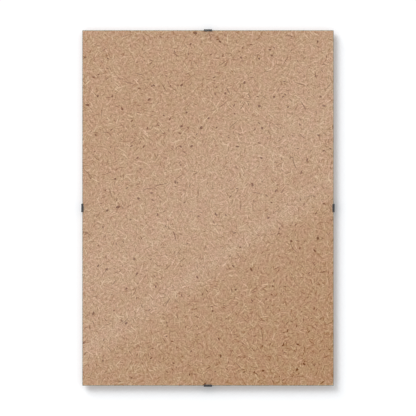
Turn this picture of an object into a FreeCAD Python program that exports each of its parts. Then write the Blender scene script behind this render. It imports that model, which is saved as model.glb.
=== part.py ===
import FreeCAD, Part
import math
import os

import Sketcher
from FreeCAD import Placement, Rotation, Vector

# A frameless clip frame for an A4 print. A glass sheet and a fibreboard back are held together
# at the middle of each side by a bent spring-steel clip, and two sawtooth hangers sit behind.
# X runs to the right, Z up, and the glass faces -Y. The origin is the top of the middle notch
# of the top hanger, in the plane of the board's back, where a nail carries the frame.

# Driving sizes in millimetres, each with what it measures.
DRIVING = [
    # the sheets
    ("frame_width", 210.0, "short side of the print, glass and board"),
    ("frame_height", 297.0, "long side of the print, glass and board"),
    ("board_thick", 3.0, "fibreboard back"),
    ("board_arris", 0.2, "eased edge all round the board"),
    ("print_gap", 0.2, "room for the print between board and glass"),
    ("glass_thick", 2.0, "float glass"),
    ("glass_arris", 0.3, "seamed edge all round the glass"),
    # the clips
    ("strip_thick", 0.6, "spring steel"),
    ("clip_width", 7.0, "along the frame's edge"),
    ("lip_overlap", 1.05, "reach of the lip over the glass"),
    ("lip_clear", 0.05, "between lip and glass"),
    ("edge_clear", 0.35, "between the clip's wall and the edges of the sheets"),
    ("lip_bend", 0.6, "radius from lip to wall, at the middle of the strip"),
    ("heel_bend", 1.2, "radius from wall to bow, at the middle of the strip"),
    ("heel_sink", 0.1, "centre of the heel's radius below the board's back"),
    ("bow_height", 2.4, "back of the bow above the board"),
    ("crown_place_share", 0.55, "crown of the bow between the edge and the foot"),
    ("crown_radius_share", 0.6, "of the largest radius that still meets the foot"),
    ("foot_clear", 0.05, "between foot and board"),
    ("foot_bend", 1.5, "radius from bow to foot, at the middle of the strip"),
    ("foot_run", 2.7, "from where the bow lands to the tooth"),
    ("tooth_inset", 18.2, "middle of the tooth from the frame's edge"),
    ("tooth_bend", 0.55, "radius from foot to tooth, at the middle of the strip"),
    ("tooth_width", 5.0, "along the frame's edge"),
    ("tooth_end_clear", 0.4, "under the tooth in its slot"),
    ("tooth_round", 0.4, "corners of the tooth"),
    ("shoulder_round_share", 0.35, "radius of a shoulder's corners in its width"),
    ("slot_clear", 0.4, "round the tooth in its slot"),
    ("slot_skin", 1.0, "board left under the slot"),
    # the hangers
    ("hook_drop", 45.0, "from the frame's edge to a hanger's notches"),
    ("hanger_length", 44.0, "over both tabs"),
    ("hanger_height", 9.0, "over the teeth"),
    ("hanger_thick", 0.8, "sheet steel"),
    ("hanger_round", 3.0, "corners of the tabs"),
    ("tab_length", 7.4, "flat of each tab"),
    ("bar_rise", 1.6, "room behind the bar for a nail's head"),
    ("joggle_run", 2.6, "from the flat of a tab to the flat of the bar"),
    ("joggle_bend_share", 0.75, "of the largest radius that still joins tab and bar"),
    ("notch_pitch", 2.4, "from notch to notch"),
    ("notch_depth", 1.3, "up from the bar's lower edge"),
    ("notch_mouth", 2.0, "width at the bar's lower edge"),
    ("notch_round", 0.35, "radius at the top of a notch"),
    ("notch_margin", 0.8, "least flat left at each end of the row of notches"),
    # the tacks
    ("tack_inset", 3.5, "from the end of the hanger"),
    ("tack_shank", 1.4, "diameter"),
    ("tack_head", 3.6, "diameter"),
    ("tack_rim", 0.25, "straight side of the head"),
    ("tack_dome", 0.65, "dome above the rim"),
    ("tack_point", 0.8, "length of the tapered point"),
    ("tack_blunt", 0.3, "diameter at the end of the point"),
    ("tack_skin", 0.5, "board left under a tack's hole"),
    ("hole_clear", 0.15, "round the shank in the hanger"),
    ("pilot_clear", 0.04, "round the shank and under the point in the board"),
    # the cuts
    ("overrun", 1.0, "how far a cut runs past what it cuts"),
]

# Sizes worked out from the driving ones. On a clip, u runs outward from the frame's edge and
# v to the rear from the board's back, both to the middle of the strip.
WORKED = [
    # the sheets
    ("left_x", "-Sizes.frame_width / 2"),
    ("right_x", "Sizes.frame_width / 2"),
    ("top_z", "Sizes.hook_drop"),
    ("bottom_z", "Sizes.hook_drop - Sizes.frame_height"),
    ("middle_x", "0"),
    ("middle_z", "Sizes.hook_drop - Sizes.frame_height / 2"),
    ("glass_lift", "Sizes.board_thick + Sizes.print_gap"),
    ("slot_depth", "Sizes.board_thick - Sizes.slot_skin"),
    ("pilot_depth", "Sizes.board_thick - Sizes.tack_skin"),
    # the clips
    ("half_strip", "Sizes.strip_thick / 2"),
    ("lip_u", "half_strip - Sizes.lip_overlap"),
    ("lip_v", "-glass_lift - Sizes.glass_thick - Sizes.lip_clear - half_strip"),
    ("lip_front_v", "lip_v - half_strip"),
    ("lip_rear_v", "lip_v + half_strip"),
    ("wall_u", "Sizes.edge_clear + half_strip"),
    ("lip_bend_u", "wall_u - Sizes.lip_bend"),
    ("lip_bend_v", "lip_v + Sizes.lip_bend"),
    ("heel_u", "wall_u - Sizes.heel_bend"),
    ("heel_v", "-Sizes.heel_sink"),
    ("foot_u", "Sizes.foot_run - Sizes.tooth_inset"),
    ("foot_v", "Sizes.foot_clear + half_strip + Sizes.foot_bend"),
    ("crown_u", "foot_u * Sizes.crown_place_share"),
    ("crown_top_v", "Sizes.bow_height - half_strip"),
    ("crown_to_foot", "crown_u - foot_u"),
    ("crown_over_foot", "crown_top_v - foot_v"),
    ("crown_largest", "(crown_to_foot ^ 2 + crown_over_foot ^ 2 - Sizes.foot_bend ^ 2)"
                      " / (2 * (Sizes.foot_bend + crown_over_foot))"),
    ("crown_radius", "crown_largest * Sizes.crown_radius_share"),
    ("crown_v", "crown_top_v - crown_radius"),
    ("tooth_u", "-Sizes.tooth_inset"),
    ("tooth_tip_v", "Sizes.tooth_end_clear - slot_depth"),
    ("tooth_bend_u", "tooth_u + Sizes.tooth_bend"),
    ("tooth_bend_v", "Sizes.foot_clear + half_strip - Sizes.tooth_bend"),
    ("strip_low", "-Sizes.clip_width / 2"),
    ("strip_high", "Sizes.clip_width / 2"),
    ("shoulder_u", "(foot_u + tooth_bend_u) / 2"),
    ("shoulder_round", "(Sizes.clip_width - Sizes.tooth_width) / 2"
                       " * Sizes.shoulder_round_share"),
    ("trim_end_u", "tooth_u - half_strip - Sizes.overrun"),
    ("tooth_low", "-Sizes.tooth_width / 2"),
    ("tooth_high", "Sizes.tooth_width / 2"),
    ("trim_low", "strip_low - Sizes.overrun"),
    ("trim_high", "strip_high + Sizes.overrun"),
    # the tooth moves outward as the clip rocks on its lip and lifts out
    ("rock_shift", "tooth_tip_v * lip_v / (Sizes.tooth_inset + lip_u)"),
    ("slot_inner_u", "tooth_u - half_strip - Sizes.slot_clear"),
    ("slot_outer_u", "tooth_u + half_strip + Sizes.slot_clear + rock_shift"),
    ("slot_middle_u", "(slot_inner_u + slot_outer_u) / 2"),
    ("slot_radius", "(slot_outer_u - slot_inner_u) / 2"),
    ("slot_low", "tooth_low - Sizes.slot_clear"),
    ("slot_high", "tooth_high + Sizes.slot_clear"),
    # the hangers
    ("side_hook_x", "right_x - Sizes.hook_drop"),
    ("plate_left_x", "-Sizes.hanger_length / 2"),
    ("plate_right_x", "Sizes.hanger_length / 2"),
    ("plate_low_z", "-Sizes.notch_depth"),
    ("plate_high_z", "Sizes.hanger_height - Sizes.notch_depth"),
    ("tab_y", "Sizes.hanger_thick / 2"),
    ("tab_bend_left_x", "plate_left_x + Sizes.tab_length"),
    ("tab_bend_right_x", "plate_right_x - Sizes.tab_length"),
    ("joggle_bend", "(Sizes.joggle_run ^ 2 + Sizes.bar_rise ^ 2) / (4 * Sizes.bar_rise)"
                    " * Sizes.joggle_bend_share"),
    ("tab_bend_y", "tab_y + joggle_bend"),
    ("bar_bend_left_x", "tab_bend_left_x + Sizes.joggle_run"),
    ("bar_bend_right_x", "tab_bend_right_x - Sizes.joggle_run"),
    ("bar_bend_y", "Sizes.bar_rise + tab_y - joggle_bend"),
    # as many notches as the bar takes, with one in the middle
    ("notches_aside", "floor((bar_bend_right_x - Sizes.notch_margin - Sizes.notch_mouth / 2)"
                      " / Sizes.notch_pitch)"),
    ("notch_count", "2 * notches_aside + 1"),
    ("first_notch_x", "-Sizes.notch_pitch * notches_aside"),
    ("notch_left_x", "first_notch_x - Sizes.notch_mouth / 2"),
    ("notch_right_x", "first_notch_x + Sizes.notch_mouth / 2"),
    ("notch_centre_z", "-Sizes.notch_round"),
    ("notch_cut_z", "plate_low_z - Sizes.overrun"),
    # the tacks
    ("tack_left_x", "plate_left_x + Sizes.tack_inset"),
    ("tack_right_x", "plate_right_x - Sizes.tack_inset"),
    ("tack_z", "Sizes.hanger_height / 2 - Sizes.notch_depth"),
    ("side_tack_x", "side_hook_x + tack_z"),
    ("side_tack_upper_z", "middle_z + tack_right_x"),
    ("side_tack_lower_z", "middle_z + tack_left_x"),
    ("hole_radius", "Sizes.tack_shank / 2 + Sizes.hole_clear"),
    ("pilot_radius", "Sizes.tack_shank / 2 + Sizes.pilot_clear"),
    ("tack_tip_y", "Sizes.pilot_clear - pilot_depth"),
    ("tack_taper_y", "tack_tip_y + Sizes.tack_point"),
    ("tack_tip_x", "Sizes.tack_blunt / 2"),
    ("tack_shank_x", "Sizes.tack_shank / 2"),
    ("tack_head_x", "Sizes.tack_head / 2"),
    ("tack_rim_y", "Sizes.hanger_thick + Sizes.tack_rim"),
    ("tack_top_y", "tack_rim_y + Sizes.tack_dome"),
    ("dome_radius", "(tack_head_x ^ 2 + Sizes.tack_dome ^ 2) / (2 * Sizes.tack_dome)"),
    ("dome_centre_y", "tack_top_y - dome_radius"),
]

# Each side: its turn about Y from the right-hand side, in degrees, and the middle of its edge.
SIDES = {
    "top": (-90, "middle_x", "top_z"),
    "right": (0, "right_x", "middle_z"),
    "bottom": (90, "middle_x", "bottom_z"),
    "left": (180, "left_x", "middle_z"),
}
# Each hanger: its turn about Y, and the place of its middle notch.
HANGERS = {
    "top_hanger": (0, "middle_x", None),
    "side_hanger": (90, "side_hook_x", "middle_z"),
}
TACKS = {
    "top_hanger_left_tack": ("tack_left_x", "tack_z"),
    "top_hanger_right_tack": ("tack_right_x", "tack_z"),
    "side_hanger_upper_tack": ("side_tack_x", "side_tack_upper_z"),
    "side_hanger_lower_tack": ("side_tack_x", "side_tack_lower_z"),
}

# Places closer than this share of the length they lie on are the same.
SAME = 1e-6

doc = FreeCAD.newDocument("clip_frame")
sizes = doc.addObject("Spreadsheet::Sheet", "Sizes")
worked = doc.addObject("Spreadsheet::Sheet", "Worked")


def fill_sheets():
    """Driving sizes as plain numbers in one sheet, and what follows from them in another."""
    for row, (alias, value, note) in enumerate(DRIVING, start=1):
        sizes.set(f"A{row}", alias)
        sizes.set(f"B{row}", str(value))
        sizes.set(f"C{row}", note)
        sizes.setAlias(f"B{row}", alias)
    for row, (alias, formula) in enumerate(WORKED, start=1):
        worked.set(f"A{row}", alias)
        worked.set(f"B{row}", f"={formula}")
        worked.setAlias(f"B{row}", alias)
    doc.recompute()


def link(name):
    """The sheet and alias of a size, as an expression writes them."""
    sheet = "Sizes" if any(name == row[0] for row in DRIVING) else "Worked"
    return f"{sheet}.{name}"


def number(name):
    """The present value of a size, for drawing a sketch close to its final form."""
    sheet, alias = link(name).split(".")
    return float(doc.getObject(sheet).get(alias))


def point(x, y):
    return Vector(number(x), number(y))


def origin_part(body, role):
    """One of the body's own origin planes or axes."""
    return next(part for part in body.Origin.OriginFeatures if part.Role == role)


def new_body(name):
    body = doc.addObject("PartDesign::Body", name)
    body.Label = name
    return body


def new_sketch(body, name, role, lift=None):
    """A sketch on an origin plane of the body, or lifted from it along its normal."""
    sketch = body.newObject("Sketcher::SketchObject", name)
    sketch.AttachmentSupport = (origin_part(body, role), [""])
    sketch.MapMode = "FlatFace"
    if lift:
        sketch.setExpression("AttachmentOffset.Base.z", link(lift))
    return sketch


def shift_sketch(sketch, turn, x, y):
    """Turns a sketch in its own plane and moves its origin to a place there."""
    sketch.AttachmentOffset = Placement(Vector(0, 0, 0), Rotation(Vector(0, 0, 1), -turn))
    for axis, name in (("x", x), ("y", y)):
        if name:
            sketch.setExpression(f"AttachmentOffset.Base.{axis}", link(name))


def hold(sketch, kind, *items):
    """Adds a dimension to the sketch, tied to the size that is named last."""
    *items, name = items
    index = sketch.addConstraint(Sketcher.Constraint(kind, *items, number(name)))
    sketch.setExpression(f"Constraints[{index}]", link(name))


def pin(sketch, geometry, end, x, y):
    """Fixes a point of the sketch, by its distances from the origin. None is on the axis."""
    for kind, name, axis in (("DistanceX", x, -2), ("DistanceY", y, -1)):
        if name:
            hold(sketch, kind, -1, 1, geometry, end, name)
        else:
            sketch.addConstraint(Sketcher.Constraint("PointOnObject", geometry, end, axis))


def run(start, end):
    """A straight piece of an outline, with the numbers of its first and last point."""
    return Part.LineSegment(start, end), 1, 2


def right_of(heading):
    return Vector(math.sin(heading), -math.cos(heading))


def turn_between(centre, radius, heading_in, heading_out):
    """An arc of an outline, entered and left at these headings. Its radius is positive if the
    outline goes round it anticlockwise."""
    spin = 0 if radius > 0 else math.pi
    angle_in = heading_in - math.pi / 2 + spin
    angle_out = heading_out - math.pi / 2 + spin
    circle = Part.Circle(centre, Vector(0, 0, 1), abs(radius))
    if radius > 0:
        return Part.ArcOfCircle(circle, angle_in, angle_out), 1, 2
    return Part.ArcOfCircle(circle, angle_out, angle_in), 2, 1


def tangent_heading(centre_a, radius_a, centre_b, radius_b):
    """Heading of the straight line that leaves one turn and meets the next."""
    across = centre_b - centre_a
    lean = math.asin((radius_a - radius_b) / across.Length)
    return math.atan2(across.y, across.x) + lean


def join(sketch, pieces, smooth=(), closed=True):
    """Adds the pieces end to end and returns their numbers. The joints listed in smooth, each
    by the piece before it, are tangent and the others are corners."""
    indices = [sketch.addGeometry(geometry) for geometry, _, _ in pieces]
    for i in range(len(pieces) if closed else len(pieces) - 1):
        after = (i + 1) % len(pieces)
        kind = "Tangent" if i in smooth else "Coincident"
        leave, enter = pieces[i][2], pieces[after][1]
        sketch.addConstraint(Sketcher.Constraint(kind, indices[i], leave, indices[after], enter))
    return indices


def rectangle(sketch, left, bottom, right, top):
    corners = [point(left, bottom), point(right, bottom), point(right, top), point(left, top)]
    lines = join(sketch, [run(corners[i], corners[(i + 1) % 4]) for i in range(4)])
    for i in (0, 2):
        sketch.addConstraint(Sketcher.Constraint("Horizontal", lines[i]))
        sketch.addConstraint(Sketcher.Constraint("Vertical", lines[i + 1]))
    pin(sketch, lines[0], 1, left, bottom)
    pin(sketch, lines[2], 1, right, top)


def bent_path(sketch, start, turns, end):
    """The middle line of a bent strip: straight runs joined by tangent arcs. The start and end
    are a place and a heading in degrees, and a turn is a centre, a radius and its side, 1 for
    anticlockwise and -1 for clockwise."""
    centres = [point(x, y) for x, y, _, _ in turns]
    radii = [side * number(radius) for _, _, radius, side in turns]
    headings = [math.radians(start[2])]
    for i in range(len(turns) - 1):
        headings.append(tangent_heading(centres[i], radii[i], centres[i + 1], radii[i + 1]))
    headings.append(math.radians(end[2]))
    pieces, at = [], point(start[0], start[1])
    for i, (centre, radius) in enumerate(zip(centres, radii)):
        pieces.append(run(at, centre + right_of(headings[i]) * radius))
        pieces.append(turn_between(centre, radius, headings[i], headings[i + 1]))
        at = centre + right_of(headings[i + 1]) * radius
    pieces.append(run(at, point(end[0], end[1])))
    indices = join(sketch, pieces, smooth=range(len(pieces)), closed=False)
    for arc, (x, y, radius, _) in zip(indices[1::2], turns):
        hold(sketch, "Radius", arc, radius)
        pin(sketch, arc, 3, x, y)
    for line, where, (x, y, heading) in ((indices[0], 1, start), (indices[-1], 2, end)):
        if heading % 180:
            sketch.addConstraint(Sketcher.Constraint("Vertical", line))
            hold(sketch, "DistanceY", -1, 1, line, where, y)
        else:
            sketch.addConstraint(Sketcher.Constraint("Horizontal", line))
            hold(sketch, "DistanceX", -1, 1, line, where, x)


def finish(body, feature, cuts=False):
    """Makes the feature the body's tip, and checks that a cut took something away."""
    before = body.Shape.Volume if cuts else None
    body.Tip = feature
    doc.recompute()
    if cuts and not body.Shape.Volume < before:
        raise RuntimeError(f"{feature.Label} of {body.Label} cuts nothing")


def pad(body, name, sketch, length, midplane=False):
    feature = body.newObject("PartDesign::Pad", name)
    feature.Profile = sketch
    feature.Midplane = midplane
    feature.setExpression("Length", link(length))
    finish(body, feature)


def pocket(body, name, sketch, depth=None):
    """A blind pocket along the sketch's normal, or a cut right through."""
    feature = body.newObject("PartDesign::Pocket", name)
    feature.Profile = sketch
    if depth:
        feature.Reversed = True
        feature.setExpression("Length", link(depth))
    else:
        feature.Type = "ThroughAll"
        feature.Midplane = True
    finish(body, feature, cuts=True)


def sweep(body, name, section, path):
    feature = body.newObject("PartDesign::AdditivePipe", name)
    feature.Profile = section
    feature.Spine = (path, [f"Edge{i + 1}" for i in range(len(path.Shape.Edges))])
    finish(body, feature)


def dress(body, kind, name, size, test):
    """A Fillet or Chamfer of a named size on the edges that pass the test."""
    base = body.Tip
    edges = [f"Edge{i + 1}" for i, edge in enumerate(base.Shape.Edges) if test(edge)]
    feature = body.newObject(f"PartDesign::{kind}", name)
    feature.Base = (base, edges)
    feature.setExpression("Radius" if kind == "Fillet" else "Size", link(size))
    finish(body, feature)


def runs_along(edge, direction):
    ends = [vertex.Point for vertex in edge.Vertexes]
    return len(ends) == 2 and (ends[1] - ends[0]).cross(direction).Length < SAME * edge.Length


def near(value, name):
    return abs(value - number(name)) < SAME * number("frame_height")


def place(body, turn, x, z):
    """Turns a body about Y and puts its own origin on a place in the plane of the board's
    back."""
    body.Placement = Placement(Vector(0, 0, 0), Rotation(Vector(0, 1, 0), turn))
    for axis, name in (("x", x), ("z", z)):
        if name:
            body.setExpression(f"Placement.Base.{axis}", link(name))


def make_board():
    """The fibreboard back, with a blind slot behind each clip and a blind hole per tack."""
    body = new_body("backing_board")
    outline = new_sketch(body, "board_outline", "XZ_Plane")
    rectangle(outline, "left_x", "bottom_z", "right_x", "top_z")
    pad(body, "board_sheet", outline, "board_thick")
    dress(body, "Chamfer", "board_arrises", "board_arris",
          lambda edge: not runs_along(edge, Vector(0, 1, 0)))
    for side, (turn, x, z) in SIDES.items():
        slot = new_sketch(body, f"{side}_slot_outline", "XZ_Plane")
        shift_sketch(slot, turn, x, z)
        round_slot(slot)
        pocket(body, f"{side}_slot", slot, "slot_depth")
    for name, (turn, x, z) in HANGERS.items():
        holes = new_sketch(body, f"{name}_pilot_outline", "XZ_Plane")
        shift_sketch(holes, turn, x, z)
        tack_rings(holes, "pilot_radius")
        pocket(body, f"{name}_pilots", holes, "pilot_depth")


def round_slot(sketch):
    """A slot with round ends along the frame's edge, as one pass of a cutter leaves it."""
    radius = number("slot_radius")
    high, low = point("slot_middle_u", "slot_high"), point("slot_middle_u", "slot_low")
    aside = Vector(radius, 0)
    up, down = math.pi / 2, -math.pi / 2
    pieces = [
        turn_between(high, radius, up, 3 * up),
        run(high - aside, low - aside),
        turn_between(low, radius, down, up),
        run(low + aside, high + aside),
    ]
    arc_high, _, arc_low, _ = join(sketch, pieces, smooth=range(len(pieces)))
    for arc, end in ((arc_high, "slot_high"), (arc_low, "slot_low")):
        hold(sketch, "Radius", arc, "slot_radius")
        pin(sketch, arc, 3, "slot_middle_u", end)


def tack_rings(sketch, radius):
    """The two tack holes of a hanger, in the hanger's own frame."""
    for x in ("tack_left_x", "tack_right_x"):
        circle = Part.Circle(point(x, "tack_z"), Vector(0, 0, 1), number(radius))
        index = sketch.addGeometry(circle)
        hold(sketch, "Radius", index, radius)
        pin(sketch, index, 3, x, "tack_z")


def make_glass():
    """The glass sheet, with its sharp edges seamed off all round."""
    body = new_body("glass_sheet")
    outline = new_sketch(body, "glass_outline", "XZ_Plane", lift="glass_lift")
    rectangle(outline, "left_x", "bottom_z", "right_x", "top_z")
    pad(body, "glass_pane", outline, "glass_thick")
    dress(body, "Chamfer", "seamed_edges", "glass_arris", lambda edge: True)


def make_clip(side, turn, x, z):
    """One bent strip: a lip over the glass, a wall past the edges, a bow behind the board and a
    tooth that drops into the slot. In its own frame X is outward, Y to the rear and Z along
    the edge."""
    body = new_body(f"{side}_clip")
    path = new_sketch(body, f"{side}_clip_path", "XY_Plane")
    turns = [
        ("lip_bend_u", "lip_bend_v", "lip_bend", 1),
        ("heel_u", "heel_v", "heel_bend", 1),
        ("crown_u", "crown_v", "crown_radius", 1),
        ("foot_u", "foot_v", "foot_bend", -1),
        ("tooth_bend_u", "tooth_bend_v", "tooth_bend", 1),
    ]
    bent_path(path, ("lip_u", "lip_v", 0), turns, ("tooth_u", "tooth_tip_v", -90))
    section = new_sketch(body, f"{side}_clip_section", "YZ_Plane", lift="lip_u")
    rectangle(section, "lip_front_v", "strip_low", "lip_rear_v", "strip_high")
    sweep(body, f"{side}_clip_strip", section, path)
    round_lip(body, side)
    narrow_tooth(body, side)
    place(body, turn, x, z)


def round_lip(body, side):
    """The lip's end is rounded over. The clip rocks on it when its tooth is lifted out."""
    sketch = new_sketch(body, f"{side}_lip_end_outline", "XY_Plane")
    centre, radius = point("lip_u", "lip_v"), number("half_strip")
    up = Vector(0, radius)
    pieces = [
        turn_between(centre, radius, math.pi, 2 * math.pi),
        run(centre - up, centre + up),
    ]
    arc, _ = join(sketch, pieces)
    pin(sketch, arc, 3, "lip_u", "lip_v")
    pin(sketch, arc, 1, "lip_u", "lip_rear_v")
    hold(sketch, "DistanceX", -1, 1, arc, 2, "lip_u")
    pad(body, f"{side}_lip_end", sketch, "clip_width", midplane=True)


def narrow_tooth(body, side):
    """The strip steps down to the tooth, with its corners rounded."""
    trim = new_sketch(body, f"{side}_tooth_trim_outline", "XZ_Plane")
    rectangle(trim, "trim_end_u", "tooth_high", "shoulder_u", "trim_high")
    rectangle(trim, "trim_end_u", "trim_low", "shoulder_u", "tooth_low")
    pocket(body, f"{side}_tooth_trim", trim)
    dress(body, "Fillet", f"{side}_shoulder_rounds", "shoulder_round",
          lambda edge: runs_along(edge, Vector(0, 1, 0)) and near(edge.CenterOfMass.x, "shoulder_u"))
    dress(body, "Fillet", f"{side}_tooth_rounds", "tooth_round",
          lambda edge: runs_along(edge, Vector(1, 0, 0)) and near(edge.CenterOfMass.y, "tooth_tip_v"))


def make_hanger(name, turn, x, z):
    """A sawtooth hanger pressed from sheet: two flat tabs and a raised bar with notches in its
    lower edge. In its own frame the middle notch is at the origin and Z is up when it hangs."""
    body = new_body(name)
    path = new_sketch(body, f"{name}_path", "XY_Plane")
    turns = [
        ("tab_bend_left_x", "tab_bend_y", "joggle_bend", 1),
        ("bar_bend_left_x", "bar_bend_y", "joggle_bend", -1),
        ("bar_bend_right_x", "bar_bend_y", "joggle_bend", -1),
        ("tab_bend_right_x", "tab_bend_y", "joggle_bend", 1),
    ]
    bent_path(path, ("plate_left_x", "tab_y", 0), turns, ("plate_right_x", "tab_y", 0))
    section = new_sketch(body, f"{name}_section", "YZ_Plane", lift="plate_left_x")
    rectangle(section, "middle_x", "plate_low_z", "hanger_thick", "plate_high_z")
    sweep(body, f"{name}_plate", section, path)
    dress(body, "Fillet", f"{name}_tab_rounds", "hanger_round",
          lambda edge: runs_along(edge, Vector(0, 1, 0)))
    holes = new_sketch(body, f"{name}_hole_outline", "XZ_Plane")
    tack_rings(holes, "hole_radius")
    pocket(body, f"{name}_holes", holes)
    notch = new_sketch(body, f"{name}_notch_outline", "XZ_Plane")
    notch_outline(notch)
    pocket(body, f"{name}_notch", notch)
    first = body.Tip
    row = body.newObject("PartDesign::LinearPattern", f"{name}_notches")
    row.Originals = [first]
    row.Direction = (origin_part(body, "X_Axis"), [""])
    row.Mode = "Spacing"
    row.setExpression("Offset", link("notch_pitch"))
    row.setExpression("Occurrences", link("notch_count"))
    finish(body, row, cuts=True)
    place(body, turn, x, z)


def notch_outline(sketch):
    """The first notch of the row: a V with a round top, open at the bar's lower edge."""
    centre, radius = point("first_notch_x", "notch_centre_z"), number("notch_round")
    left, right = point("notch_left_x", "plate_low_z"), point("notch_right_x", "plate_low_z")
    low_left, low_right = (
        point("notch_left_x", "notch_cut_z"),
        point("notch_right_x", "notch_cut_z"),
    )
    rise = tangent_heading(left, 0, centre, -radius)
    pieces = [
        run(low_left, left),
        run(left, centre - right_of(rise) * radius),
        turn_between(centre, -radius, rise, -rise),
        run(centre - right_of(-rise) * radius, right),
        run(right, low_right),
        run(low_right, low_left),
    ]
    fall_left, _, arc, _, fall_right, _ = join(sketch, pieces, smooth=(1, 2))
    hold(sketch, "Radius", arc, "notch_round")
    pin(sketch, arc, 3, "first_notch_x", "notch_centre_z")
    pin(sketch, fall_left, 1, "notch_left_x", "notch_cut_z")
    pin(sketch, fall_left, 2, "notch_left_x", "plate_low_z")
    pin(sketch, fall_right, 1, "notch_right_x", "plate_low_z")
    pin(sketch, fall_right, 2, "notch_right_x", "notch_cut_z")


def make_tack(name, x, z):
    """A domed tack, turned about its own Y axis, through the hanger's tab into the board."""
    body = new_body(name)
    sketch = new_sketch(body, f"{name}_outline", "XY_Plane")
    names = [
        (None, "tack_tip_y"),
        ("tack_tip_x", "tack_tip_y"),
        ("tack_shank_x", "tack_taper_y"),
        ("tack_shank_x", "hanger_thick"),
        ("tack_head_x", "hanger_thick"),
        ("tack_head_x", "tack_rim_y"),
    ]
    corners = [Vector(number(x_name) if x_name else 0, number(y_name)) for x_name, y_name in names]
    top, centre = Vector(0, number("tack_top_y")), Vector(0, number("dome_centre_y"))
    rim = corners[-1] - centre
    pieces = [run(corners[i], corners[i + 1]) for i in range(len(corners) - 1)]
    leaves_rim = math.atan2(rim.y, rim.x) + math.pi / 2
    pieces.append(turn_between(centre, number("dome_radius"), leaves_rim, math.pi))
    pieces.append(run(top, corners[0]))
    indices = join(sketch, pieces)
    for index, (x_name, y_name) in zip(indices, names):
        pin(sketch, index, 1, x_name, y_name)
    pin(sketch, indices[-1], 1, None, "tack_top_y")
    hold(sketch, "Radius", indices[-2], "dome_radius")
    feature = body.newObject("PartDesign::Revolution", f"{name}_turned")
    feature.Profile = sketch
    feature.ReferenceAxis = (sketch, ["V_Axis"])
    finish(body, feature)
    place(body, 0, x, z)


def check_document():
    """Stops before anything is written if an object or a shape is not sound."""
    doc.recompute()
    for item in doc.Objects:
        if "Invalid" in item.State or "Error" in item.State:
            raise RuntimeError(f"{item.Label} failed: {item.State}")
    for body in doc.findObjects("PartDesign::Body"):
        if body.Shape.isNull() or not body.Shape.isValid() or len(body.Shape.Solids) != 1:
            raise RuntimeError(f"{body.Label} is not one sound solid")


def write_parts():
    os.makedirs("parts", exist_ok=True)
    for body in doc.findObjects("PartDesign::Body"):
        body.Shape.exportStep(f"parts/{body.Label}.step")
        box = body.Shape.BoundBox
        print(
            f"{body.Label}: {body.Shape.Volume:.2f} mm3,"
            f" x {box.XMin:.2f} to {box.XMax:.2f},"
            f" y {box.YMin:.2f} to {box.YMax:.2f},"
            f" z {box.ZMin:.2f} to {box.ZMax:.2f}"
        )


fill_sheets()
make_board()
make_glass()
for side, where in SIDES.items():
    make_clip(side, *where)
for name, where in HANGERS.items():
    make_hanger(name, *where)
for name, where in TACKS.items():
    make_tack(name, *where)
check_document()
write_parts()
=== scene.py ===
import math

import bmesh
import bpy
from mathutils import Matrix, Vector


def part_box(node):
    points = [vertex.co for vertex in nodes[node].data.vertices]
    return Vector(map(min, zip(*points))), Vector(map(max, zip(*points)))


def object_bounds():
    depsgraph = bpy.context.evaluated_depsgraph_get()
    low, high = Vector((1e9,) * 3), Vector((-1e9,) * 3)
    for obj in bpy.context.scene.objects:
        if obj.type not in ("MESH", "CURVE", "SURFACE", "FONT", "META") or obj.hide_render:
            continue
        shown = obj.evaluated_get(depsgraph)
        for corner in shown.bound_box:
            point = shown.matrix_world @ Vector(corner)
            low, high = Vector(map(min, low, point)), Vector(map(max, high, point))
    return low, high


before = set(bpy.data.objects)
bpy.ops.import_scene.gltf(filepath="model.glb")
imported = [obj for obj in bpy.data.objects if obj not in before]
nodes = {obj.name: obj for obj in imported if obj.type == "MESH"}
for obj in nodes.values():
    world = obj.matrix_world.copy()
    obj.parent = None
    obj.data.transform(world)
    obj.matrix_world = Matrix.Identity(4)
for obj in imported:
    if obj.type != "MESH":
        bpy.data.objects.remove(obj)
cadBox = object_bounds()
mm = 0.001                                     # the scene is in metres, real sizes are given in mm
pictureMm = 347.6                              # what the whole picture spans at the glass
print("frame loaded:", len(nodes), "nodes")


def linear(hexColour):                         # sRGB hex to the linear colour that Blender wants
    parts = [int(hexColour[i:i + 2], 16) / 255 for i in (1, 3, 5)]
    return [p / 12.92 if p <= 0.04045 else ((p + 0.055) / 1.055) ** 2.4 for p in parts] + [1.0]


def addNode(tree, kind, links=None, **settings):      # one shader node, its settings, its values or links
    node = tree.nodes.new("ShaderNode" + kind)
    for name, value in settings.items():
        setattr(node, name, value)
    for name, value in (links or {}).items():
        if isinstance(value, bpy.types.NodeSocket):
            tree.links.new(value, node.inputs[name])
        else:
            node.inputs[name].default_value = value
    return node


def fillRamp(ramp, places, colours):           # gives a colour ramp its stops, from 0 to 1
    stops = ramp.color_ramp.elements
    while len(stops) < len(places):
        stops.new(1.0)
    for stop, place, colour in zip(stops, places, colours):
        stop.position = place
        stop.color = colour


def newMaterial(name):
    material = bpy.data.materials.new(name)
    material.use_nodes = True
    material.node_tree.nodes.clear()
    return material, material.node_tree


def placeInMm(tree):                           # where a point lies on its piece, in mm
    place = addNode(tree, "TexCoord").outputs["Object"]
    return addNode(tree, "VectorMath", {0: place, "Scale": 1 / mm}, operation="SCALE").outputs[0]


noisy = {"From Min": 0.3, "From Max": 0.7}     # nearly all values of a noise lie between these


def dress(material, *names):                   # gives a material to carried-over nodes
    for name in names:
        for slot in nodes[name].material_slots:
            slot.material = material


fibre = {
    "stir": (23.7, 31.3),                      # what turns one chance number into another
    "shortest": 0.5, "thinnest": 0.4,          # the least share of a row's length and width
    "contrast": 2.2,                           # above 1, more fibres take one of their two colours in full
}


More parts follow.
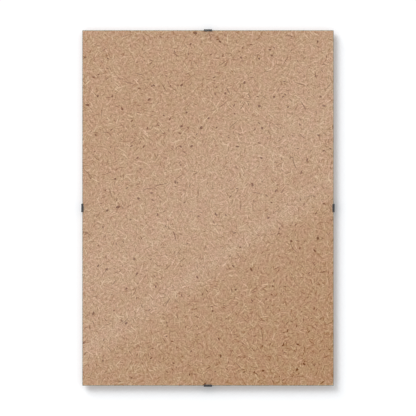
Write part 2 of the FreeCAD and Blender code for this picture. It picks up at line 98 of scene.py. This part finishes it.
def makeFibreGroup():                          # short curved fibres, each lying its own way in its own cell
    tree = bpy.data.node_groups.new("scatteredFibres", "ShaderNodeTree")
    for name in ("cell", "halfLength", "halfWidth", "bend", "soft"):
        tree.interface.new_socket(name, in_out="INPUT", socket_type="NodeSocketFloat")
    tree.interface.new_socket("place", in_out="INPUT", socket_type="NodeSocketVector")
    for name in ("mask", "chance", "shade"):
        tree.interface.new_socket(name, in_out="OUTPUT", socket_type="NodeSocketFloat")

    given = tree.nodes.new("NodeGroupInput").outputs
    finer = addNode(tree, "Math", {0: 1.0, 1: given["cell"]}, operation="DIVIDE").outputs[0]
    cells = addNode(tree, "TexVoronoi", {"Vector": given["place"], "Scale": finer}, voronoi_dimensions="2D")
    first, second, third = addNode(tree, "SeparateColor", {"Color": cells.outputs["Color"]}).outputs
    stirred = []
    for chance, factor in zip((first, third), fibre["stir"]):
        larger = addNode(tree, "Math", {0: chance, 1: factor}, operation="MULTIPLY").outputs[0]
        stirred.append(addNode(tree, "Math", {0: larger}, operation="FRACT").outputs[0])
    fourth, fifth = stirred

    fromMiddle = addNode(tree, "VectorMath", {0: given["place"], 1: cells.outputs["Position"]},
                         operation="SUBTRACT").outputs[0]
    angle = addNode(tree, "Math", {0: first, 1: 2 * math.pi}, operation="MULTIPLY").outputs[0]
    turned = addNode(tree, "VectorRotate", {"Vector": fromMiddle, "Angle": angle}, rotation_type="Z_AXIS")
    along, across, _ = addNode(tree, "SeparateXYZ", {0: turned.outputs[0]}).outputs
    squared = addNode(tree, "Math", {0: along, 1: along}, operation="MULTIPLY").outputs[0]
    bent = addNode(tree, "Math", {0: second, 1: given["bend"]}, operation="MULTIPLY").outputs[0]
    bowed = addNode(tree, "Math", {0: squared, 1: bent, 2: across}, operation="MULTIPLY_ADD").outputs[0]
    offLine = addNode(tree, "Math", {0: bowed}, operation="ABSOLUTE").outputs[0]

    longest = addNode(tree, "Math", {0: second, 1: 1 - fibre["shortest"], 2: fibre["shortest"]},
                      operation="MULTIPLY_ADD").outputs[0]
    longest = addNode(tree, "Math", {0: longest, 1: given["halfLength"]}, operation="MULTIPLY").outputs[0]
    widest = addNode(tree, "Math", {0: fourth, 1: 1 - fibre["thinnest"], 2: fibre["thinnest"]},
                     operation="MULTIPLY_ADD").outputs[0]
    widest = addNode(tree, "Math", {0: widest, 1: given["halfWidth"]}, operation="MULTIPLY").outputs[0]
    reach = addNode(tree, "Math", {0: along, 1: longest}, operation="DIVIDE").outputs[0]
    reach = addNode(tree, "Math", {0: reach, 1: reach}, operation="MULTIPLY").outputs[0]
    taper = addNode(tree, "Math", {0: 1.0, 1: reach}, operation="SUBTRACT").outputs[0]
    width = addNode(tree, "Math", {0: widest, 1: taper}, operation="MULTIPLY").outputs[0]
    inside = addNode(tree, "Math", {0: width, 1: offLine}, operation="SUBTRACT").outputs[0]
    mask = addNode(tree, "Math", {0: inside, 1: given["soft"]}, operation="DIVIDE",
                   use_clamp=True).outputs[0]
    shade = addNode(tree, "Math", {0: fifth, 1: fibre["contrast"], 2: (1 - fibre["contrast"]) / 2},
                    operation="MULTIPLY_ADD", use_clamp=True).outputs[0]

    result = tree.nodes.new("NodeGroupOutput").inputs
    for name, value in (("mask", mask), ("chance", third), ("shade", shade)):
        tree.links.new(value, result[name])
    return tree


fibreGroup = makeFibreGroup()
print("fibre pattern made")

board = {
    "face": "#BF9678", "pale": "#E3C3AB", "dark": "#955D1C",       # pressed softwood fibre, seen plainly
    "bark": "#7B440B", "rust": "#874F12", "cream": "#E8CCB2",
    "tones": (0.1, 0.5, 0.9),                                      # where felt is dark, plain and pale
    "waves": [(1.9, 5.5, 0.5), (3.6, 9.0, 0.5)],                   # felt: spacing and patch in mm, share
    "wander": 0.15, "wanderBy": 1.2,                               # drift of the felt: per mm, and its mm
    "stagger": (17.3, 9.1),                                        # mm from one row's cells to the next's
    "soft": 0.24,                                                  # mm over which a fibre's edge fades
    # cell, half length and half width in mm, bend per mm, share left out, strength, two colours
    "fibres": [
        (3.3, 2.2, 0.41, 0.04, 0.0, 0.62, "dark", "pale"),
        (4.4, 2.9, 0.43, 0.03, 0.0, 0.70, "pale", "dark"),
        (5.7, 3.8, 0.46, 0.02, 0.0, 0.80, "dark", "pale"),
        (8.4, 5.1, 0.50, 0.012, 0.2, 0.72, "pale", "cream"),
        (9.6, 5.8, 0.48, 0.01, 0.3, 0.74, "dark", "cream"),
        (5.1, 2.1, 0.53, 0.04, 0.4, 0.84, "rust", "dark"),
        (7.0, 3.4, 0.55, 0.03, 0.4, 0.88, "rust", "dark"),
        (18.0, 7.2, 0.52, 0.02, 0.5, 0.95, "rust", "bark"),
        (11.0, 2.1, 0.85, 0.04, 0.6, 1.00, "rust", "bark"),
        (18.0, 2.0, 1.25, 0.04, 0.5, 1.00, "bark", "bark"),
    ],
    "rosy": "#FBF0E9", "yellowish": "#FBF8EC",                     # what the slow tints multiply by
    "mottle": 0.12, "tints": (0.35, 0.65),                         # patches per mm, where a tint is full
    "core": "#8A6B50", "edge": "#B39374",
    "streaks": (0.3, 4.8, 0.3), "coreTones": (0.3, 0.7),           # streaks per mm, thin through the board
    "skin": (0.03, 0.18),                                          # mm below a face where its skin ends
    "roughness": 0.72, "gloss": 0.3, "relief": 0.08, "reliefStrength": 0.25,
}


def layFelt(tree, felt):                       # tangled waves, from 0 to 1
    tone = 0.0
    for spacing, patch, share in board["waves"]:
        wave = addNode(tree, "TexGabor", {"Vector": felt, "Scale": 1 / patch, "Frequency": patch / spacing,
                                          "Anisotropy": 0.0}).outputs["Value"]
        tone = addNode(tree, "Math", {0: wave, 1: share, 2: tone}, operation="MULTIPLY_ADD").outputs[0]
    return tone


def layFibres(tree, felt, colour):             # each row of fibres lies over those before it
    acrossStep, upStep = board["stagger"]
    for count, row in enumerate(board["fibres"], start=1):
        *sizes, leftOut, strength, first, second = row
        aside = (acrossStep * count, upStep * (count + 1), 0)
        moved = addNode(tree, "VectorMath", {0: felt, 1: aside}, operation="ADD").outputs[0]
        fibres = addNode(tree, "Group", node_tree=fibreGroup)
        tree.links.new(moved, fibres.inputs["place"])
        fibres.inputs["soft"].default_value = board["soft"]
        for name, value in zip(("cell", "halfLength", "halfWidth", "bend"), sizes):
            fibres.inputs[name].default_value = value
        shade = addNode(tree, "Mix", {0: fibres.outputs["shade"], 6: linear(board[first]),
                                      7: linear(board[second])}, data_type="RGBA").outputs[2]
        amount = addNode(tree, "Math", {0: fibres.outputs["chance"], 1: leftOut},
                         operation="GREATER_THAN").outputs[0]
        for factor in (fibres.outputs["mask"], strength):
            amount = addNode(tree, "Math", {0: amount, 1: factor}, operation="MULTIPLY").outputs[0]
        colour = addNode(tree, "Mix", {0: amount, 6: colour, 7: shade}, data_type="RGBA").outputs[2]
    return colour


def tintSlowly(tree, felt, colour):            # patches a little rosier or yellower than the rest
    mottle = addNode(tree, "TexNoise", {"Vector": felt, "Scale": board["mottle"], "Detail": 1.0},
                     noise_dimensions="2D").outputs["Fac"]
    tint = addNode(tree, "ValToRGB", {"Fac": mottle})
    fillRamp(tint, board["tints"], [linear(board[name]) for name in ("rosy", "yellowish")])
    return addNode(tree, "Mix", {0: 1.0, 6: colour, 7: tint.outputs["Color"]}, data_type="RGBA",
                   blend_type="MULTIPLY").outputs[2]


def showCore(tree, millimetres, y, colour):    # edges and slots show the browner core, in level streaks
    streaked = addNode(tree, "VectorMath", {0: millimetres, 1: board["streaks"]}, operation="MULTIPLY")
    streaks = addNode(tree, "TexNoise", {"Vector": streaked.outputs[0], "Scale": 1.0, "Detail": 4.0})
    core = addNode(tree, "ValToRGB", {"Fac": streaks.outputs["Fac"]})
    fillRamp(core, board["coreTones"], [linear(board[name]) for name in ("core", "edge")])
    front, back = (corner.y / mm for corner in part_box("backing_board"))
    half = (back - front) / 2
    fromMiddle = addNode(tree, "Math", {0: y, 1: (front + back) / 2}, operation="SUBTRACT").outputs[0]
    fromMiddle = addNode(tree, "Math", {0: fromMiddle}, operation="ABSOLUTE").outputs[0]
    skin, under = board["skin"]
    inCore = addNode(tree, "MapRange", {"Value": fromMiddle, "From Min": half - under,
                                        "From Max": half - skin, "To Min": 1.0, "To Max": 0.0}).outputs[0]
    return addNode(tree, "Mix", {0: inCore, 6: colour, 7: core.outputs["Color"]},
                   data_type="RGBA").outputs[2]


def makeFibreboard():
    # Hot-pressed MDF with sanded faces: a felt of short pale and brown fibres with a few bark specks, matt,
    # browner at the sawn edges. The fibres are drawn about twice as wide as real ones, to show.
    material, tree = newMaterial("hotPressedFibreboard")
    millimetres = placeInMm(tree)
    x, y, z = addNode(tree, "SeparateXYZ", {0: millimetres}).outputs
    flat = addNode(tree, "CombineXYZ", {0: x, 1: z}).outputs[0]
    wander = addNode(tree, "TexNoise", {"Vector": flat, "Scale": board["wander"], "Detail": 0.0},
                     noise_dimensions="2D").outputs["Color"]
    wander = addNode(tree, "VectorMath", {0: wander, "Scale": board["wanderBy"]}, operation="SCALE")
    felt = addNode(tree, "VectorMath", {0: flat, 1: wander.outputs[0]}, operation="ADD").outputs[0]

    tone = layFelt(tree, felt)
    ground = addNode(tree, "ValToRGB", {"Fac": tone})
    fillRamp(ground, board["tones"], [linear(board[name]) for name in ("dark", "face", "pale")])
    colour = layFibres(tree, felt, ground.outputs["Color"])
    colour = tintSlowly(tree, felt, colour)
    colour = showCore(tree, millimetres, y, colour)
    bump = addNode(tree, "Bump", {"Height": tone, "Strength": board["reliefStrength"],
                                  "Distance": board["relief"] * mm})
    surface = addNode(tree, "BsdfPrincipled", {"Base Color": colour, "Roughness": board["roughness"],
                                               "Specular IOR Level": board["gloss"],
                                               "Normal": bump.outputs[0]})
    addNode(tree, "OutputMaterial", {"Surface": surface.outputs[0]})
    return material


dress(makeFibreboard(), "backing_board")
print("board dressed")

glass = {
    "pane": "#F7FCF9", "edge": "#6F9482",
    "ior": 1.52, "edgeRoughness": 0.25, "edgeClear": 0.7,
    "swell": 0.012, "swellHeight": 0.02,       # swells per mm of the face, and their height in mm
    "faceOn": 0.9,                             # a normal turned this far to the front is the face's
}


def makeFloatGlass():
    # Float glass 2 mm thick with seamed edges: clear and flat in the face, green and frosted at the edge.
    material, tree = newMaterial("floatGlassSeamed")
    swell = addNode(tree, "TexNoise", {"Vector": placeInMm(tree), "Scale": glass["swell"], "Detail": 0.0})
    bump = addNode(tree, "Bump", {"Height": swell.outputs["Fac"], "Strength": 1.0,
                                  "Distance": glass["swellHeight"] * mm})
    pane = addNode(tree, "BsdfPrincipled", {"Base Color": linear(glass["pane"]), "Roughness": 0.0,
                                            "IOR": glass["ior"], "Transmission Weight": 1.0,
                                            "Normal": bump.outputs[0]})
    edge = addNode(tree, "BsdfPrincipled", {"Base Color": linear(glass["edge"]),
                                            "Roughness": glass["edgeRoughness"], "IOR": glass["ior"],
                                            "Transmission Weight": glass["edgeClear"]})
    facing = addNode(tree, "NewGeometry").outputs["True Normal"]
    _, outward, _ = addNode(tree, "SeparateXYZ", {0: facing}).outputs
    outward = addNode(tree, "Math", {0: outward}, operation="ABSOLUTE").outputs[0]
    onFace = addNode(tree, "Math", {0: outward, 1: glass["faceOn"]}, operation="GREATER_THAN").outputs[0]
    solid = addNode(tree, "MixShader", {0: onFace, 1: edge.outputs[0], 2: pane.outputs[0]}).outputs[0]
    clear = addNode(tree, "BsdfTransparent").outputs[0]          # the lamps' light passes straight through
    rays = addNode(tree, "LightPath").outputs
    bounced = addNode(tree, "MixShader", {0: rays["Is Diffuse Ray"], 1: solid, 2: clear}).outputs[0]
    lit = addNode(tree, "MixShader", {0: rays["Is Shadow Ray"], 1: bounced, 2: clear}).outputs[0]
    addNode(tree, "OutputMaterial", {"Surface": lit})
    return material


dress(makeFloatGlass(), "glass_sheet")
print("glass dressed")

clips = {
    "oxide": "#4A4C50", "steel": "#6B6A68", "tones": (0.45, 0.95),
    "lines": 9.0, "runOn": 0.5,                # rolling lines per mm across the strip, and per mm along it
    "clouds": 0.35, "lineShare": 0.35,         # clouds per mm, and what the lines add to them
    "roughness": (0.34, 0.52), "relief": 0.01, "reliefStrength": 0.25,
}


def makeSpringSteel(name, across):
    # Hardened and tempered strip, oiled black-grey: satin, with fine rolling lines along the strip.
    material, tree = newMaterial(name)
    millimetres = placeInMm(tree)
    stretch = [clips["runOn"]] * 3
    stretch[across] = clips["lines"]
    lined = addNode(tree, "VectorMath", {0: millimetres, 1: stretch}, operation="MULTIPLY").outputs[0]
    lines = addNode(tree, "TexNoise", {"Vector": lined, "Scale": 1.0, "Detail": 3.0}).outputs["Fac"]
    clouds = addNode(tree, "TexNoise", {"Vector": millimetres, "Scale": clips["clouds"], "Detail": 3.0})
    tone = addNode(tree, "Math", {0: lines, 1: clips["lineShare"], 2: clouds.outputs["Fac"]},
                   operation="MULTIPLY_ADD").outputs[0]
    colour = addNode(tree, "ValToRGB", {"Fac": tone})
    fillRamp(colour, clips["tones"], [linear(clips[name]) for name in ("oxide", "steel")])
    smooth, coarse = clips["roughness"]
    rough = addNode(tree, "MapRange", {"Value": lines, **noisy, "To Min": smooth, "To Max": coarse})
    bump = addNode(tree, "Bump", {"Height": lines, "Strength": clips["reliefStrength"],
                                  "Distance": clips["relief"] * mm})
    surface = addNode(tree, "BsdfPrincipled", {"Base Color": colour.outputs["Color"], "Metallic": 1.0,
                                               "Roughness": rough.outputs[0], "Normal": bump.outputs[0]})
    addNode(tree, "OutputMaterial", {"Surface": surface.outputs[0]})
    return material


dress(makeSpringSteel("temperedSpringSteelUpright", 0), "top_clip", "bottom_clip")
dress(makeSpringSteel("temperedSpringSteelLevel", 2), "left_clip", "right_clip")

hanger = {
    "dull": "#94979A", "bright": "#B6B8BA", "tones": (0.35, 0.65),
    "mottle": 0.7, "grit": 6.0,                # per mm
    "roughness": (0.28, 0.44), "relief": 0.01, "reliefStrength": 0.2,
}


def makeZincPlate():
    # Bright zinc plate on pressed mild steel: pale blue-grey, softly mottled, with a fine grit.
    material, tree = newMaterial("zincPlatedPressedSteel")
    millimetres = placeInMm(tree)
    mottle = addNode(tree, "TexNoise", {"Vector": millimetres, "Scale": hanger["mottle"], "Detail": 4.0})
    grit = addNode(tree, "TexNoise", {"Vector": millimetres, "Scale": hanger["grit"], "Detail": 2.0})
    grit = grit.outputs["Fac"]
    colour = addNode(tree, "ValToRGB", {"Fac": mottle.outputs["Fac"]})
    fillRamp(colour, hanger["tones"], [linear(hanger[name]) for name in ("dull", "bright")])
    smooth, coarse = hanger["roughness"]
    rough = addNode(tree, "MapRange", {"Value": grit, **noisy, "To Min": smooth, "To Max": coarse})
    bump = addNode(tree, "Bump", {"Height": grit, "Strength": hanger["reliefStrength"],
                                  "Distance": hanger["relief"] * mm})
    surface = addNode(tree, "BsdfPrincipled", {"Base Color": colour.outputs["Color"], "Metallic": 1.0,
                                               "Roughness": rough.outputs[0], "Normal": bump.outputs[0]})
    addNode(tree, "OutputMaterial", {"Surface": surface.outputs[0]})
    return material


dress(makeZincPlate(), "top_hanger", "side_hanger")

tack = {
    "scuff": "#62605E", "steel": "#8E8C8A", "tones": (0.3, 0.6),
    "scuffs": 2.2,                             # per mm
    "roughness": (0.26, 0.42),
}


def makeTackSteel():
    # Cold-headed steel wire, tumbled bright: cool grey with small scuffs.
    material, tree = newMaterial("coldHeadedBrightSteel")
    scuffs = addNode(tree, "TexNoise", {"Vector": placeInMm(tree), "Scale": tack["scuffs"], "Detail": 5.0})
    scuffs = scuffs.outputs["Fac"]
    colour = addNode(tree, "ValToRGB", {"Fac": scuffs})
    fillRamp(colour, tack["tones"], [linear(tack[name]) for name in ("scuff", "steel")])
    smooth, coarse = tack["roughness"]
    rough = addNode(tree, "MapRange", {"Value": scuffs, **noisy, "To Min": coarse, "To Max": smooth})
    surface = addNode(tree, "BsdfPrincipled", {"Base Color": colour.outputs["Color"], "Metallic": 1.0,
                                               "Roughness": rough.outputs[0]})
    addNode(tree, "OutputMaterial", {"Surface": surface.outputs[0]})
    return material


dress(makeTackSteel(), *[name for name in nodes if name.endswith("_tack")])
print("metals dressed")

low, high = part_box("glass_sheet")
middle = (low + high) / 2                      # the middle of the picture
glassFront = low.y


def makeSheet(name, side, place, material):    # a flat square of the studio, with its place in its mesh
    mesh = bpy.data.meshes.new(name)
    shape = bmesh.new()
    bmesh.ops.create_grid(shape, x_segments=1, y_segments=1, size=side / 2)
    bmesh.ops.transform(shape, matrix=place, verts=shape.verts)
    shape.to_mesh(mesh)
    shape.free()
    mesh.materials.append(material)
    sheet = bpy.data.objects.new(name, mesh)
    bpy.context.scene.collection.objects.link(sheet)
    return sheet


wall = {
    "side": 1.6, "gap": 0.9 * mm, "white": "#F3F5F7",
    "lift": 0.12,                              # a faint glow, for the camera only, that keeps it white
    "reach": 8 * mm, "shade": 0.5,             # how far the painted shade reaches, and how deep it gets
    "lean": (-0.5, -1.0, 0.7),                 # the painted shade lies right of and below what stands off the wall
    "rays": 8,                                 # how many look for what stands near
}


def makePlaster():
    # Smooth plaster under matt white emulsion: no gloss and no texture to be seen. Its white carries
    # painted shade: an occlusion node darkens it near what stands off the wall, most to the right and
    # below.
    # The painted shade's direction comes from a node, because the socket takes no typed one.
    material, tree = newMaterial("paintedPlaster")
    lean = addNode(tree, "CombineXYZ", dict(enumerate(Vector(wall["lean"]).normalized()))).outputs[0]
    near = addNode(tree, "AmbientOcclusion", {"Distance": wall["reach"], "Normal": lean},
                   samples=wall["rays"]).outputs["AO"]
    # painted shade: the wall's white is darkened where the occlusion node finds something near
    paintedShade = addNode(tree, "MapRange", {"Value": near, "To Min": 1 - wall["shade"], "To Max": 1.0})
    whiteWithPaintedShade = addNode(tree, "VectorMath", {0: linear(wall["white"])[:3], "Scale": paintedShade.outputs[0]},
                    operation="SCALE")
    white = addNode(tree, "BsdfDiffuse", {"Color": whiteWithPaintedShade.outputs[0]}).outputs[0]
    rays = addNode(tree, "LightPath").outputs
    lift = addNode(tree, "Math", {0: rays["Is Camera Ray"], 1: wall["lift"]}, operation="MULTIPLY")
    glow = addNode(tree, "Emission", {"Strength": lift.outputs[0]}).outputs[0]
    painted = addNode(tree, "AddShader", {0: white, 1: glow}).outputs[0]
    clear = addNode(tree, "BsdfTransparent").outputs[0]
    behind = addNode(tree, "NewGeometry").outputs["Backfacing"]
    shown = addNode(tree, "MixShader", {0: behind, 1: painted, 2: clear}).outputs[0]
    addNode(tree, "OutputMaterial", {"Surface": shown})
    return material


def makeWall():                                # a white wall just behind the hangers, not seen from behind
    place = Matrix.Translation((middle.x, cadBox[1].y + wall["gap"], middle.z))
    place = place @ Matrix.Rotation(math.pi / 2, 4, "X")
    sheet = makeSheet("wall", wall["side"], place, makePlaster())
    sheet.visible_shadow = sheet.visible_diffuse = False
    sheet.visible_glossy = sheet.visible_transmission = False


makeWall()

studio = {
    "ambient": 0.6,                            # soft light from all round
    "lamps": [                                 # name, place from the middle in m, side in m, watts, bounces
        ("keyPanel", (-5.3, -5.6, 6.8), 6.0, 920, 12),
        ("rearPanel", (0.9, 1.6, 1.2), 1.8, 15, 0),
        ("rearFill", (-1.4, 1.5, -0.4), 1.6, 7, 0),
    ],
    "unshading": ("top_clip", "right_clip", "bottom_clip", "left_clip"),   # too thin to shade the wall
}


def makeWorld():                               # plain white to the camera and to mirrors, softer as a light
    world = bpy.data.worlds.new("whiteStudio")
    bpy.context.scene.world = world
    world.use_nodes = True
    tree = world.node_tree
    tree.nodes.clear()
    rays = addNode(tree, "LightPath").outputs
    seen = rays["Is Camera Ray"]
    for kind in ("Is Glossy Ray", "Is Transmission Ray"):
        seen = addNode(tree, "Math", {0: seen, 1: rays[kind]}, operation="MAXIMUM").outputs[0]
    strength = addNode(tree, "MapRange", {"Value": seen, "To Min": studio["ambient"], "To Max": 1.0})
    white = addNode(tree, "Background", {"Color": (1, 1, 1, 1), "Strength": strength.outputs[0]})
    addNode(tree, "OutputWorld", {"Surface": white.outputs[0]})


def makeLamps():
    for name, place, side, watts, bounces in studio["lamps"]:
        lamp = bpy.data.lights.new(name, "AREA")
        lamp.size, lamp.energy = side, watts
        lamp.cycles.max_bounces = bounces
        piece = bpy.data.objects.new(name, lamp)
        piece.location = middle + Vector(place)
        piece.rotation_euler = (-Vector(place)).to_track_quat("-Z", "Y").to_euler()
        piece.visible_camera = False
        bpy.context.scene.collection.objects.link(piece)
    unshading = bpy.data.collections.new("unshading")
    for name in studio["unshading"]:
        unshading.objects.link(nodes[name])
    for thin in unshading.collection_objects:
        thin.light_linking.link_state = "EXCLUDE"
    bpy.data.objects["keyPanel"].light_linking.blocker_collection = unshading


makeWorld()
makeLamps()
print("wall and lamps set")

camera = {
    "lens": 200.0, "sensor": 36.0,             # mm
    "nearest": 0.01, "furthest": 50,           # what it sees, in m
}
cameraAway = camera["lens"] / camera["sensor"] * pictureMm * mm


def makeCamera():                              # a long lens, dead square to the glass
    eye = bpy.data.cameras.new("camera")
    eye.lens, eye.sensor_width = camera["lens"], camera["sensor"]
    eye.clip_start, eye.clip_end = camera["nearest"], camera["furthest"]
    stand = bpy.data.objects.new("camera", eye)
    stand.location = (middle.x, glassFront - cameraAway, middle.z)
    stand.rotation_euler = (math.pi / 2, 0, 0)
    bpy.context.scene.collection.objects.link(stand)
    bpy.context.scene.camera = stand


makeCamera()

card = {
    "side": 3.0, "behind": 0.05,               # m, and m behind the camera
    "slope": 0.694, "strength": 1.23,          # how far the ramp leans to the left, and how bright it is
    "halfSpan": 0.6,                           # m from the middle of the card to either end of the ramp
    # place along the card from 0 to 1, and how bright it is there
    "stops": [(0.25, 0.0), (0.38, 0.32), (0.408, 0.44), (0.434, 0.94), (0.453, 0.66), (0.51, 0.87),
              (0.66, 0.5), (1.0, 0.5)],
}


def makeGradedGlow():
    # A glowing card, no lamp, dark to bright up and to the left and seen only in reflections: what gives
    # the glass its slanting sheen.
    material, tree = newMaterial("gradedCard")
    place = addNode(tree, "TexCoord").outputs["Object"]
    along = Vector((-card["slope"], 0, 1)).normalized()
    centred = addNode(tree, "VectorMath", {0: place, 1: middle}, operation="SUBTRACT").outputs[0]
    across = addNode(tree, "VectorMath", {0: centred, 1: along}, operation="DOT_PRODUCT").outputs["Value"]
    reach = addNode(tree, "MapRange", {"Value": across, "From Min": -card["halfSpan"],
                                       "From Max": card["halfSpan"]}).outputs[0]
    ramp = addNode(tree, "ValToRGB", {"Fac": reach})
    places, values = zip(*card["stops"])
    fillRamp(ramp, places, [(value, value, value, 1.0) for value in values])
    glow = addNode(tree, "Emission", {"Color": ramp.outputs["Color"], "Strength": card["strength"]})
    addNode(tree, "OutputMaterial", {"Surface": glow.outputs[0]})
    return material


def makeCard():                                # a graded card behind the camera, for the glass to mirror
    place = Matrix.Translation(middle + Vector((0, -(cameraAway + card["behind"]), 0)))
    place = place @ Matrix.Rotation(-math.pi / 2, 4, "X")
    sheet = makeSheet("gradedCard", card["side"], place, makeGradedGlow())
    sheet.visible_camera = sheet.visible_diffuse = sheet.visible_shadow = False


makeCard()
bpy.context.scene.view_settings.view_transform = "Standard"
bpy.context.scene.cycles.denoising_prefilter = "FAST"      # keeps the board's fine fibres
print("camera and card set")
